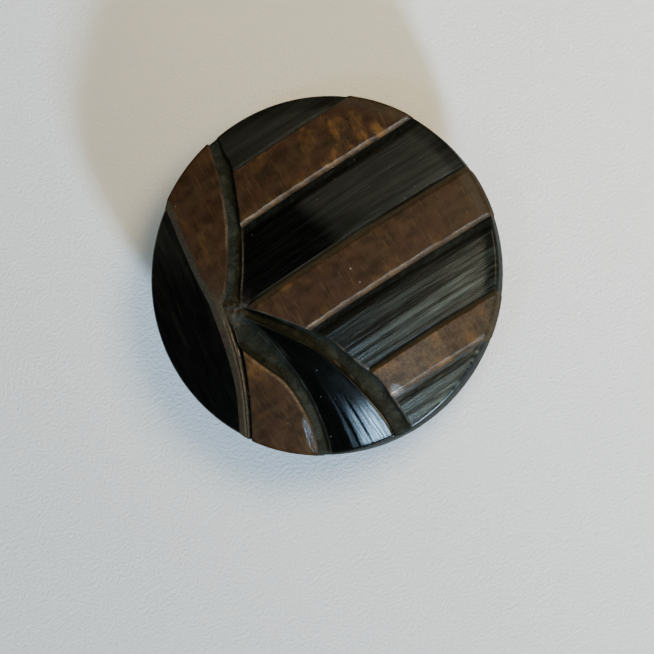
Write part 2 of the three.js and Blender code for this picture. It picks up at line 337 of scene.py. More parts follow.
# Colours of the black layer in linear light: bare, what lies on it, and painted reflections of the ceiling
POLISHED_BLACK, WORN_BLACK = (0.0009, 0.0009, 0.0009), (0.0026, 0.0028, 0.0024)
# painted reflection: this yellowish grey is partly dried polish and partly the ceiling's reflection painted
# into the colour
DRIED_FILM_AND_REFLECTION = (0.030, 0.0295, 0.0235)
# painted reflection: the grey haze and pale wisps are partly real and partly the bright ceiling's reflection
# painted on the panels
GREY_HAZE_AND_REFLECTION, PALE_WISPS = (0.070, 0.086, 0.070), (0.108, 0.124, 0.104)
DARK_DUST, GREY_DUST, PALE_DUST = (0.0070, 0.0078, 0.0055), (0.0165, 0.0175, 0.0125), (0.026, 0.0275, 0.0205)
BARE_LIP = (0.115, 0.084, 0.066)
GREY_SPECK = (0.06, 0.06, 0.055)

# Colours of the brown layer: its mottling, its gold streaks, its marks, and its pale bevels, which are partly
# worn and partly a painted highlight
DARK_BROWN, MID_BROWN = (0.0160, 0.0083, 0.0038), (0.0350, 0.0178, 0.0084)
RED_BROWN, OLIVE_BROWN = (0.0298, 0.0134, 0.0073), (0.0225, 0.0163, 0.0075)
GOLD = (0.108, 0.051, 0.0155)
PALE_GRAIN, SCRATCH_BROWN = (0.070, 0.046, 0.026), (0.078, 0.049, 0.0225)
PALE_SPECK = (0.22, 0.19, 0.15)
# painted highlight: the pale bevel colours are partly wear and partly light caught where the bevels face the
# window
BEVEL_DARK, BEVEL_WEAR_AND_HIGHLIGHT, BEVEL_GOLD = (0.050, 0.033, 0.020), (0.176, 0.130, 0.084), (0.155, 0.090, 0.040)
DULL_DARK, DULL_PALE = (0.019, 0.0170, 0.0105), (0.056, 0.048, 0.0325)

BRASS_GRIME = (0.10, 0.075, 0.045)
CEMENT_DARK, CEMENT_PALE = (0.20, 0.19, 0.165), (0.40, 0.38, 0.33)


def black_material():
    """Gloss black with a tool's fine lines, grey haziness, dried polish and dust, and painted reflections of
    the ceiling in its colour, by the values at the mesh's points.
    """
    g = Graph("black_layer")
    place, flow = g.place(), g.value("flow", "Vector")
    dust, streak, shine, lip, wet = (g.value(key) for key in ("dust", "streak", "shine", "lip", "wet"))
    pale, film_and_reflection = g.value("pale"), g.value("film_and_reflection")
    broad = g.lumps(g.stretched(flow, (0.07, 1.5, 1)), 1, 3, 0.55)
    fine = g.lumps(g.stretched(flow, (0.28, 6.5, 1)), 1, 3, 0.6)
    grain = g.lumps(place, 6, 4, 0.65)
    cloud = g.lumps(place, 0.5, 3, 0.6)
    # painted reflection: haze and wisps put the ceiling's reflection into the colour, over real pale streaks
    haze_and_reflection = g.math("MULTIPLY", pale, g.span(broad, 0.46, 0.70))
    wisps = g.math("MULTIPLY", pale, g.span(fine, 0.52, 0.74, 0.0, 0.7))
    gloss = g.mix(g.span(fine, 0.35, 0.7), POLISHED_BLACK, WORN_BLACK)
    # painted reflection: this grey is partly dried polish and partly the ceiling's reflection
    gloss = g.mix(g.math("MULTIPLY", film_and_reflection, g.span(broad, 0.32, 0.62, 0.45, 1.1)), gloss, DRIED_FILM_AND_REFLECTION)
    gloss = g.mix(haze_and_reflection, gloss, GREY_HAZE_AND_REFLECTION)
    gloss = g.mix(wisps, gloss, PALE_WISPS)
    dull = g.mix(g.span(grain, 0.28, 0.72), DARK_DUST, GREY_DUST)
    dull = g.mix(g.span(cloud, 0.48, 0.64, 0.0, 0.7), dull, PALE_DUST)
    colour = g.mix(g.math("MULTIPLY", dust, g.span(grain, 0.1, 0.6, 0.5, 1.0)), gloss, dull)
    colour = g.mix(g.math("MULTIPLY", lip, g.span(grain, 0.3, 0.62, 0.2, 1.0)), colour, BARE_LIP)
    colour = g.mix(g.specks(place, 0.75, 0.075, 0.80), colour, GREY_SPECK)
    polish = g.span(fine, 0.3, 0.75, 0.13, 0.27)
    worn = g.math("MULTIPLY_ADD", wet, -0.04, g.math("MULTIPLY_ADD", streak, 0.10, polish))
    rough = g.add("Mix", {0: dust, 2: worn, 3: 0.7}, data_type="FLOAT")
    specular = g.math("MULTIPLY", shine, g.math("MULTIPLY_ADD", dust, -0.4, 0.5))
    combed = g.math("MULTIPLY_ADD", streak, 0.45, 0.04)
    combed = g.math("MULTIPLY", combed, g.math("MULTIPLY_ADD", wet, -0.65, 1.0))
    lines = g.bump(fine, 0.02, combed)
    lines = g.bump(broad, 0.08, g.math("MULTIPLY", streak, 0.6), lines)
    pits = g.bump(grain, 0.05, g.math("MULTIPLY", dust, 0.8), lines)
    return g.finish(Base_Color=colour, Roughness=rough, Normal=pits, IOR=1.58, Specular_IOR_Level=specular)


def brown_material():
    """Satin brown, mottled and scratched, with pale bevels that are partly worn and partly a painted
    highlight, and grey dulled edges.
    """
    g = Graph("brown_layer")
    place = g.place()
    bevel, grey, gold, sheen = (g.value(key) for key in ("bevel", "grey", "gold", "sheen"))
    cloud = g.lumps(place, 0.30, 3, 0.55, 0.2)
    mottle = g.lumps(g.stretched(place, (0.6, 1.0, 1)), 0.9, 4, 0.6, 0.15)
    embers = g.lumps(g.stretched(place, (0.9, 0.55, 1)), 0.8, 4, 0.6, 0.2)
    grain = g.lumps(place, 4.5, 4, 0.65)
    scratch = g.lumps(g.stretched(place, (6, 0.45, 1)), 1, 3, 0.55)
    base = g.mix(g.span(mottle, 0.34, 0.66), DARK_BROWN, MID_BROWN)
    base = g.mix(g.span(cloud, 0.42, 0.60, 0.0, 0.60), base, RED_BROWN)
    base = g.mix(g.span(cloud, 0.46, 0.30, 0.0, 0.45), base, OLIVE_BROWN)
    glow = g.math("MULTIPLY", g.span(embers, 0.47, 0.72), gold)
    base = g.mix(glow, base, GOLD)
    base = g.mix(g.span(grain, 0.56, 0.72, 0.0, 0.22), base, PALE_GRAIN)
    base = g.mix(g.span(scratch, 0.56, 0.70, 0.0, 0.40), base, SCRATCH_BROWN)
    base = g.mix(g.specks(place, 0.55, 0.09, 0.70), base, PALE_SPECK)
    # painted highlight: the pale bevel is partly wear and partly a painted highlight
    pale = g.mix(g.span(grain, 0.34, 0.66), BEVEL_DARK, BEVEL_WEAR_AND_HIGHLIGHT)
    pale = g.mix(g.math("MULTIPLY", gold, g.span(embers, 0.46, 0.64, 0.0, 0.5)), pale, BEVEL_GOLD)
    base = g.mix(g.math("MULTIPLY", bevel, g.span(mottle, 0.30, 0.60, 0.30, 1.0)), base, pale)
    dull = g.mix(g.span(grain, 0.3, 0.7), DULL_DARK, DULL_PALE)
    base = g.mix(grey, base, dull)
    rough = g.add("Mix", {0: sheen, 2: g.span(mottle, 0.3, 0.7, 0.42, 0.58), 3: 0.20}, data_type="FLOAT")
    specular = g.math("MULTIPLY_ADD", sheen, 0.48, 0.11)
    lift = g.bump(scratch, 0.02, 0.30)
    lift = g.bump(grain, 0.04, 0.28, lift)
    return g.finish(Base_Color=base, Roughness=rough, Normal=lift, IOR=1.5, Specular_IOR_Level=specular)


def brass_material(name, tone):
    """Drawn brass, tarnished in clouds and with grime in its grain."""
    g = Graph(name)
    place = g.place()
    cloud = g.lumps(place, 0.7, 4, 0.6)
    grain = g.lumps(place, 9, 4, 0.7)
    drawn = g.lumps(g.stretched(place, (6, 6, 0.8)), 1, 3)
    base = g.mix(g.span(cloud, 0.35, 0.65), tone, tuple(c * 0.55 for c in tone))
    base = g.mix(g.span(grain, 0.62, 0.72, 0.0, 0.6), base, BRASS_GRIME)
    rough = g.span(drawn, 0.3, 0.7, 0.28, 0.5)
    lift = g.bump(drawn, 0.02, 0.3, g.bump(grain, 0.03, 0.2))
    return g.finish(Base_Color=base, Roughness=rough, Metallic=1.0, Normal=lift)


def cement_material():
    g = Graph("cement")
    place = g.place()
    grain = g.lumps(place, 3, 6, 0.7)
    colour = g.mix(g.span(grain, 0.3, 0.7), CEMENT_DARK, CEMENT_PALE)
    return g.finish(Base_Color=colour, Roughness=0.9, Normal=g.bump(grain, 0.2, 0.6))


black, brown = black_material(), brown_material()
wire_brass = brass_material("brass_wire", (0.62, 0.42, 0.17))
plate_brass = brass_material("brass_plate", (0.56, 0.39, 0.17))
cement = cement_material()


# ------------------------------------ black body

GRID = 400  # cells along a side of the grid over the front
STRANDS = 15  # carved strands across the black leaf
LOWEST_PANEL = -13  # the panel below this distance runs nearer to the rim than the others

# Profiles across the bands, by the same distance as PANEL_LEVELS
SCORING = [  # how deeply the tool scored the panels
    (-20, 0.7), (-11.8, 0.7), (-11.2, 1.0), (-4.8, 0.9), (1.2, 0.12), (8.5, 0.16), (14.5, 0.14), (20, 0.12),
]
PALENESS = [  # of the streaks, which are partly a painted reflection of the ceiling
    (-20, 0.72), (-15.8, 0.72), (-15.5, 0.1), (-11.4, 0.1), (-10.9, 0.62), (-8.4, 0.42), (-7.2, 0.16),
    (-5.9, 0.08), (-5.2, 0.07), (14, 0.06),
]
FILM_AND_REFLECTION = [  # of dried polish and of painted reflection of the ceiling
    (-11.4, 0), (-10.8, 0.1), (-5.6, 0.1), (-5.2, 0), (1.2, 0), (1.8, 0.3), (7.6, 0.3), (8.0, 0), (14.2, 0),
    (14.8, 0.26),
]
SHINE = [(-15.5, 1.15), (-11, 0.8), (-9, 0.62), (-5, 0.45), (1, 0.6), (8, 0.62), (14, 0.65)]
UNDER_BANDS = [  # 1 in the dark channels below the middle and upper bands
    (-5.9, 0), (-5.3, 1), (-4.2, 1), (-4.0, 0), (7.4, 0), (8.0, 1), (9.2, 1), (9.4, 0),
]
DUST_BESIDE = [  # dust at the feet of the bands
    (-15.95, 0), (-15.6, 0.3), (-15.2, 0.3), (-11.5, 0.6), (-11.3, 0.6), (-11.0, 0), (-5.6, 0), (-5.1, 0.25),
    (-4.5, 0.25), (1.0, 0.5), (1.3, 0.5), (1.7, 0), (7.7, 0), (8.2, 0.2), (8.9, 0.2), (14.3, 0.6),
    (14.7, 0.5), (15.2, 0),
]


def profile(table, place):
    """Straight lines between pairs of place and value."""
    return np.interp(place, *zip(*table))


def bell(distance, width):
    """1 at no distance, falling smoothly to 1/e at a width."""
    return np.exp(-((distance / width) ** 2))


def leaf_share(x, y):
    """0 at the black leaf's lower edge, 1 at its upper edge."""
    low, high = np.maximum(black_below(x, y), 0), np.maximum(-black_above(x, y), 0)
    return low / np.maximum(low + high, 1e-6)


def survey(x, y):
    """What the carving and its looks depend on at each point of the front."""
    p = SimpleNamespace(x=x, y=y, rim=np.hypot(x, y), hub=np.hypot(x - HUB[0], y - HUB[1]))
    p.along, p.across = x * ALONG[0] + y * ALONG[1], x * ACROSS[0] + y * ACROSS[1]

    # How far inside each raised part, with the waver of a hand-held cutter
    waver = 0.05 * noise(x / 1.6, y / 1.6, 3)
    p.fan = inside_fan(x, y) + waver
    p.left = -mass_right(x, y) + waver
    p.leaf = np.minimum(black_below(x, y), -black_above(x, y)) + waver
    p.groove = 1 - step(-0.10, 0.06, np.maximum(np.maximum(p.fan, p.left), p.leaf))
    p.share = leaf_share(x, y)
    p.drift = noise(p.share * 10.5 + 0.4 * noise(p.rim / 5, p.share * 2, 34), p.rim / 5.5, 9)

    # The tool's marks stop short of the rim and are fainter at the left of the upper panels
    run_out = step(0, 0.8, p.rim - np.where(p.across < LOWEST_PANEL, 18.0, 17.3))
    calm = step(3, 4.5, p.across) * step(9, 1, p.along)
    p.score = profile(SCORING, p.across) * (1 - run_out) * (1 - 0.65 * calm)

    # The left end of the second panel gets none of the painted grey reflection and less gloss: a painted dark
    # reflection
    p.clean = step(4.2, 1.4, p.along + 0.3 * (p.across - 5) + 0.5 * noise(p.across / 0.8, p.along / 4, 36))
    p.clean = p.clean * step(1.0, 1.6, p.across) * step(8.4, 7.6, p.across)
    return p


def panel_level(p):
    """The black panels between the bands, with coarse, middling and fine scoring along them."""
    level = profile(PANEL_LEVELS, p.across + 0.07 * noise(p.along / 3, 0, 4))
    coarse = noise(p.across / 0.95 + 0.25 * noise(p.along / 7, 0, 33), p.along / 16, 32)
    middling = noise(p.across / 0.42, p.along / 9, 5)
    fine = noise(p.across / 0.17, p.along / 5, 6)
    return level + p.score * 0.050 * coarse + p.score * 0.030 * middling + p.score * 0.012 * fine


def left_level(p):
    """The smooth black part at the left, with a nick beside the stem."""
    level = -0.60 + 0.012 * noise(p.x / 2.5, p.y / 4, 7)
    nick = 1 - step(0.05, 0.24, np.abs(stem_right(p.x, p.y) - 0.16))
    return level - 0.35 * nick * step(-7.0, -8.4, p.y) * step(-10.6, -10.0, p.x)


def leaf_level(p):
    """The black leaf: a rounded back, with fine strands towards the rim."""
    strand = p.share * STRANDS + 0.35 * noise(p.rim / 6, p.share * 3, 8)
    ridges = 0.5 + 0.5 * np.cos(2 * math.pi * strand)
    level = -0.62 + 0.40 * np.minimum(step(0, 0.36, p.share), step(1.0, 0.93, p.share))
    return level - step(9, 15, p.rim) * (0.0045 * ridges + 0.026 * p.drift)


def groove_level(p):
    """The grooves' floor: deepest near its right side, rough, and with a knob at the hub."""
    to_left, to_leaf, to_fan = -p.left, -p.leaf, -p.fan
    farthest = np.maximum(np.maximum(to_left, to_leaf), to_fan)
    left = np.maximum(np.where(to_left == farthest, to_leaf, to_left), 0)
    right = np.maximum(np.where(to_fan == farthest, to_leaf, to_fan), 0)
    share = left / np.maximum(left + right, 1e-6)
    level = GROOVE_SIDE - GROOVE_DROP * np.minimum(share / 0.70, (1 - share) / 0.30) ** 0.8
    level = level + 0.05 * noise(p.x / 0.7, p.y / 0.7, 10) + 0.03 * noise(p.x / 0.25, p.y / 0.25, 11)
    return level + 0.55 * bell(p.hub, 1.25) * (1 + 0.35 * noise(p.x / 0.42, p.y / 0.42, 12))


def dust_on(p):
    """Dust in the grooves, at the bands' feet, along the fan's and the leaf's edges, and round the hub."""
    brim = 0.75 * (1 - step(0.02, 0.20, np.abs(p.fan - 0.05)))
    beside = np.where(p.fan > 0, np.maximum(profile(DUST_BESIDE, p.across), brim), 0)
    leaf_edge = np.where(p.leaf > -0.02, 1 - step(0.10, 0.28, p.leaf), 0)
    return np.maximum(np.maximum(p.groove, beside), np.maximum(leaf_edge, 0.9 * bell(p.hub, 1.0)))


def lips_on(p):
    """Bare brown lips left along some edges, and crumbs of them at the hub."""
    x, y = p.x, p.y
    below = bell(fan_below(x, y) - 0.08, 0.0837) * step(1.5, 3.0, x)
    below = below * step(-0.6, 0.2, noise(x / 0.8, y / 0.8, 15))
    beside = bell(fan_left(x, y) + 0.02, 0.1265) * step(-2.5, -1.5, y) * step(5.0, 3.5, y)
    crumbs = bell(p.hub, 1.5) * (0.35 + 0.65 * step(0.1, 0.7, noise(x / 0.4, y / 0.4, 16)))
    leaf = bell(black_above(x, y) + 0.03, 0.0775) * step(-0.5, 1.5, x) * step(6.5, 3.8, x)
    leaf = leaf * step(-0.3, 0.4, noise(x / 0.7, y / 0.7, 17))
    return np.maximum(np.maximum(0.85 * below, beside), np.maximum(0.6 * crumbs, 0.7 * leaf))


def shine_of(p):
    """Strength of the gloss on the panels, the left part and the leaf."""
    worn_rim = step(0, 1, p.rim - np.where(p.across < LOWEST_PANEL, 18.0, 17.0))
    panels = (1 - 0.85 * worn_rim) * (1 - 0.6 * p.groove) * (1 - 0.85 * profile(UNDER_BANDS, p.across))
    panels = panels * profile(SHINE, p.across) * (1 - 0.80 * p.clean)
    left = 0.35 + 0.45 * step(0, 4, p.y)
    fringe = 0.6 * p.drift
    polished = step(2.4, 5.0, p.x + 0.45 * (p.y + 16) + fringe) * step(13.2, 15.4, p.rim + fringe)
    worn_edge = np.maximum(step(0.3, 0.1, p.leaf), step(0.90, 0.95, p.share))
    leaf = (0.25 + 0.75 * polished) * (1 - 0.85 * worn_edge)
    return np.where(p.leaf > 0, leaf, np.where(p.left > 0, left, panels))


def paleness_of(p):
    """Pale streaks, partly real and partly a painted reflection of the ceiling: more to the right, but all
    along the lowest panel.
    """
    spread = np.where(p.across < LOWEST_PANEL, 1, 0.30 + 0.70 * step(-1, 11, p.along))
    return np.where(p.fan > 0, profile(PALENESS, p.across) * spread, 0)


def film_and_reflection_on(p):
    """Grey on the panels that is partly dried polish and partly a painted reflection of the ceiling, a pale
    line along a ridge above the middle band that is partly a burr and partly a painted highlight, and on the
    left part real streaks and a smear that is a painted reflection, lighter towards its top.
    """
    ridge = step(1.20, 1.35, p.across) * step(1.72, 1.56, p.across)
    ridge = ridge * step(-8, -6, p.along) * step(12, 6, p.along)
    panels = np.maximum(profile(FILM_AND_REFLECTION, p.across) * (1 - p.clean), ridge)
    smear = step(-3.5, 3.0, p.y) * (0.55 + 0.50 * noise(p.x / 0.42 + p.y / 0.95, p.y / 6, 14))
    lines = step(0.35, 0.9, noise(p.x / 0.26 + p.y / 0.6, p.y / 3.5, 37)) * step(-13.0, -4.0, p.y)
    return np.where(p.fan > 0, panels, np.where(p.left > 0, 0.24 * (smear + 0.55 * lines), 0))


def flow_of(p):
    """Texture coordinates that follow the tool: along the bands, out along the leaf, down the left part."""
    zero = 0 * p.x
    bands = np.stack([p.along, p.across, zero], -1)
    leaf = np.stack([p.rim * 1.2 + 60, p.share * 6 + 50, zero], -1)
    left = np.stack([p.y + 100, p.x * 0.8 + 0.4 * p.y + 90, zero], -1)
    return np.where((p.left > -WALL_RUN)[..., None], left, np.where((p.leaf > 0)[..., None], leaf, bands))


def front(x, y):
    """Level of the black front under the dome, and the values its material reads."""
    p = survey(x, y)
    floor = groove_level(p)
    level = floor
    for inside, top in ((p.fan, panel_level(p)), (p.left, left_level(p)), (p.leaf, leaf_level(p))):
        level = np.maximum(level, floor + (top - floor) * step(-WALL_RUN, 0.03, inside))
    streak = np.where(p.leaf > 0, 0.12, np.where(p.left > -WALL_RUN, 0.08, p.score)) * (1 - p.groove)
    looks = {
        "dust": dust_on(p), "streak": streak, "shine": shine_of(p), "lip": lips_on(p),
        "wet": np.where(p.leaf > 0, 1.0, 0.0), "pale": paleness_of(p), "film_and_reflection": film_and_reflection_on(p), "flow": flow_of(p),
    }
    return level * ease(x, y), looks


BACK_RINGS = (14.5, 11, 8)  # radii of the rings that break up the flat back
BOND_GAP = 0.03  # round the plate and the plug
RECESS_CHAMFER = 0.06
FADE_RINGS = 5  # the front's looks fade out over this many rings past its edge
WALL_LOOKS = {"dust": 0.50, "streak": 0, "shine": 0.04, "lip": 0, "wet": 0, "pale": 0, "film_and_reflection": 0}
BACK_LOOKS = {**WALL_LOOKS, "dust": 0.2, "shine": 0.6}


def disc_grid(reach):
    """A square grid over a disc of that radius, each square ring of it bent into a circle."""
    a, b = np.meshgrid(np.linspace(-1, 1, GRID + 1), np.linspace(-1, 1, GRID + 1), indexing="ij")
    wide = np.abs(a) > np.abs(b)
    radius = reach * np.where(wide, a, b)
    safe_a, safe_b = np.where(a == 0, 1, a), np.where(b == 0, 1, b)
    turn = np.where(wide, math.pi / 4 * b / safe_a, math.pi / 2 - math.pi / 4 * a / safe_b)
    return radius * np.cos(turn), radius * np.sin(turn)


def quarter_turn(count):
    """Angles of a rounded edge after its start."""
    return np.linspace(0, math.pi / 2, count + 1)[1:]


def side_rings(reach, rim_z):
    """Radius and heights of the rings round the front's edge and down the side wall."""
    wall_top, wall_foot = rim_z - BLACK_RIM_ROUND, BACK_Z + BACK_ROUND
    rings = []
    for t in quarter_turn(6):
        rings.append((reach + BLACK_RIM_ROUND * math.sin(t), rim_z - BLACK_RIM_ROUND * (1 - math.cos(t))))
    for t in np.linspace(0, 1, 5)[1:]:
        rings.append((BODY_RADIUS - WALL_TAPER * t, wall_top * (1 - t) + wall_foot * t))
    return rings


def back_rings():
    """Radius and height of the rings round the foot, over the back and into the pockets in it."""
    foot, wall_foot = BODY_RADIUS - WALL_TAPER, BACK_Z + BACK_ROUND
    recess, recess_top = (plate_high.x - plate_low.x) / 2 / MM + BOND_GAP, plate_high.z / MM
    pocket, pocket_top = (plug_high.x - plug_low.x) / 2 / MM + BOND_GAP, plug_high.z / MM + BOND_GAP
    rings = []
    for t in quarter_turn(5):
        rings.append((foot - BACK_ROUND * (1 - math.cos(t)), wall_foot - BACK_ROUND * math.sin(t)))
    rings += [(radius, BACK_Z) for radius in (*BACK_RINGS, recess + RECESS_CHAMFER)]
    rings += [(recess, BACK_Z + RECESS_CHAMFER), (recess, recess_top), (pocket, recess_top)]
    return rings + [(pocket, pocket_top), (pocket * 0.5, pocket_top)]


def make_black_body():
    reach = BODY_RADIUS - BLACK_RIM_ROUND
    x, y = disc_grid(reach)
    level, looks = front(x, y)
    looks = {key: [value.reshape(x.size, -1)] for key, value in looks.items()}
    points = [np.stack([x, y, dome(x, y) + level], -1).reshape(-1, 3)]
    index = np.arange(x.size).reshape(x.shape)
    faces = [quads(index)]

    ring = np.concatenate([index[:-1, 0], index[-1, :-1], index[:0:-1, -1], index[0, :0:-1]])
    rim = points[0][ring]
    way = rim[:, :2] / np.hypot(rim[:, 0], rim[:, 1])[:, None]
    side, back = side_rings(reach, rim[:, 2]), back_rings()
    last, count = ring, x.size
    for k, (radius, height) in enumerate([*side, *back]):
        new = np.arange(len(ring)) + count
        count += len(ring)
        points.append(np.column_stack([way * radius, np.broadcast_to(height, len(ring))]))
        faces.append(quads(np.stack([np.append(new, new[0]), np.append(last, last[0])], 1)))
        last = new
        keep = max(0, 1 - k / FADE_RINGS)
        plain = WALL_LOOKS if k < len(side) else BACK_LOOKS
        for key, grids in looks.items():
            at_edge = grids[0][ring]
            grids.append(at_edge if key == "flow" else at_edge * keep + plain[key] * (1 - keep))
    points.append(np.array([[0, 0, back[-1][1]]]))
    faces.append(np.column_stack([np.roll(last, -1), last, np.full(len(last), count)]))

    values = {key: np.vstack([*grids, np.zeros((1, grids[0].shape[1]))]) for key, grids in looks.items()}
    values = {key: grid if key == "flow" else grid[:, 0] for key, grid in values.items()}
    make("black_body_carved", "black_body", "black_layer", black, np.vstack(points), faces, sharp=50, **values)


# ------------------------------------ brown islands

ISLAND_REACH = RADIUS - BROWN_RIM_ROUND  # where the rounded rim begins
HEM_TUCK = 0.08  # how far the lower end of the wall turns in
WALL_BEVEL = 0.1  # share of an edge's pale bevel that goes on down the side wall
DULL_WALL = -0.22  # sheen of the brown layer's side wall, below that of its top
FACET_SLOPE = 0.085  # the polished facet along the end of the lower leaf
FACET_DIP = 0.03  # and its fall towards the rim
SLOPE_WIDE = 0.85  # width of the slopes along the left of the upper leaf and of the stem
POLISHED_CORNER = (8.3, -12.2)  # of the lower band


def to_rim(points):
    """The part of a smooth curve that lies inside the rim, ending on it."""
    line = smooth_line(points, 24)
    size = np.hypot(line[:, 0], line[:, 1])
    last = int(np.argmax(size > ISLAND_REACH))
    share = (ISLAND_REACH - size[last - 1]) / (size[last] - size[last - 1])
    return np.vstack([line[:last], line[last - 1] + share * (line[last] - line[last - 1])])


def evenly(line, count):
    """Points at even distances along a line."""
    gaps = np.hypot(*np.diff(line, axis=0).T)
    length = np.concatenate([[0], np.cumsum(gaps)])
    at = np.linspace(0, length[-1], count)
    return np.column_stack([np.interp(at, length, line[:, k]) for k in (0, 1)])


def between(low, high, shares, columns):
    """Grid of points between two edges that start at the hub and end on the rim, closed by the rim's arc."""
    low, high = evenly(to_rim(low), columns), evenly(to_rim(high), columns)
    v = shares[None, :, None]
    u = np.linspace(0, 1, columns)[:, None, None]
    grid = low[:, None] * (1 - v) + high[:, None] * v
    turns = [math.atan2(p[1], p[0]) for p in (low[-1], high[-1])]
    turns[1] += 2 * math.pi * round((turns[0] - turns[1]) / (2 * math.pi))
    turn = turns[0] + (turns[1] - turns[0]) * shares
    arc = ISLAND_REACH * np.column_stack([np.cos(turn), np.sin(turn)])
    return grid + u**3 * (arc - grid[-1])[None]


def across_band(feet, shares, columns):
    """Grid of points over a band, from the fan's edge to the rim."""
    low_foot, low_top, high_top, high_foot = feet
    offset = low_foot + (high_foot - low_foot) * shares
    end = np.sqrt(ISLAND_REACH ** 2 - offset**2)
    runs = np.linspace(-20, 20, 2001)
    x = runs[:, None] * ALONG[0] + offset * ACROSS[0]
    y = runs[:, None] * ALONG[1] + offset * ACROSS[1]
    inside = (inside_fan(x, y) > 0) & (np.hypot(x, y) < ISLAND_REACH)
    start = runs[np.argmax(inside, axis=0)]
    run = start + (end - start) * np.linspace(0, 1, columns)[:, None]
    return run[..., None] * ALONG + offset[:, None] * ACROSS


def dense_ends(count, power=1.6):
    """Shares from 0 to 1, closer together at both ends."""
    t = np.linspace(-1, 1, count)
    return 0.5 + 0.5 * np.sign(t) * (1 - (1 - np.abs(t)) ** power)


def island(node, plan, lift, **attributes):
    """A brown island over a plan grid. lift is 0 level with the black below and 1 at the full layer."""
    x, y = plan[..., 0], plan[..., 1]
    skin = 0.010 * noise(x / 1.4, y / 1.4, 21) + 0.006 * noise(x / 0.35, y / 0.35, 22)
    z = dome(x, y) - BROWN_DEPTH * (1 - lift) * ease(x, y) + np.minimum(skin, 0) * lift
    tops = [np.dstack([x, y, z])]
    unders = [np.dstack([x, y, z - BROWN_DEPTH * lift - UNDERCUT])]
    way = plan[-1] / np.hypot(plan[-1, :, 0], plan[-1, :, 1])[:, None]
    edge_z, edge_lift = z[-1], lift[-1]
    outer = BODY_RADIUS + BROWN_WALL * edge_lift
    wall_foot = BACK_Z + BROWN_HEM

    def column(radius, height, lean):
        """A row of the grid past the rim, where the layer leans from level to upright and thins out."""
        tilt = lean / (math.pi / 2)
        deep = (1 - tilt) * (BROWN_DEPTH * edge_lift + UNDERCUT) + tilt * (BROWN_WALL * edge_lift + UNDERCUT)
        inner = radius - deep * math.sin(lean)
        tops.append(np.column_stack([way * radius[:, None], height])[None])
        unders.append(np.column_stack([way * inner[:, None], height - deep * math.cos(lean)])[None])

    for bend in quarter_turn(6):
        radius = ISLAND_REACH + (outer - ISLAND_REACH) * math.sin(bend)
        column(radius, edge_z - BROWN_RIM_ROUND * (1 - math.cos(bend)), bend)
    for t in np.linspace(0, 1, 8)[1:]:
        radius = outer - WALL_TAPER * t - (HEM_TUCK if t == 1 else 0)
        column(radius, (edge_z - BROWN_RIM_ROUND) * (1 - t) + wall_foot * t, math.pi / 2)
    top, under = np.vstack(tops), np.vstack(unders)
    points, faces = closed_shell(top, under)
    extra = len(top) - len(plan)
    values = {}
    for key, grid in attributes.items():
        wall = np.repeat(grid[-1:], extra, 0) * (WALL_BEVEL if key == "bevel" else 1)
        if key == "sheen":
            wall = np.full_like(wall, DULL_WALL)
        grid = np.vstack([grid, wall])
        values[key] = np.concatenate([grid.ravel(), grid.ravel()])
    make(node + "_carved", node, "brown_layer", brown, points, faces, sharp=38, **values)


def cliff(distance, drop=0.3, run=0.14):
    """Lift of a worn edge over a steep wall."""
    t = np.clip(distance / run, 0, 1)
    return 1 - drop * (1 - t) ** 2


def band_shares(feet):
    """Shares across a band for the rows of its grid, closer together on the bevels and the top's edges."""
    low_foot, low_top, high_top, high_foot = feet
    wide = high_foot - low_foot
    return np.unique(np.concatenate([
        np.linspace(0, (low_top - low_foot) / wide, 7),
        (low_top - low_foot + (high_top - low_top) * dense_ends(int((high_top - low_top) / 0.13))) / wide,
        np.linspace((high_top - low_foot) / wide, 1, 7),
    ]))


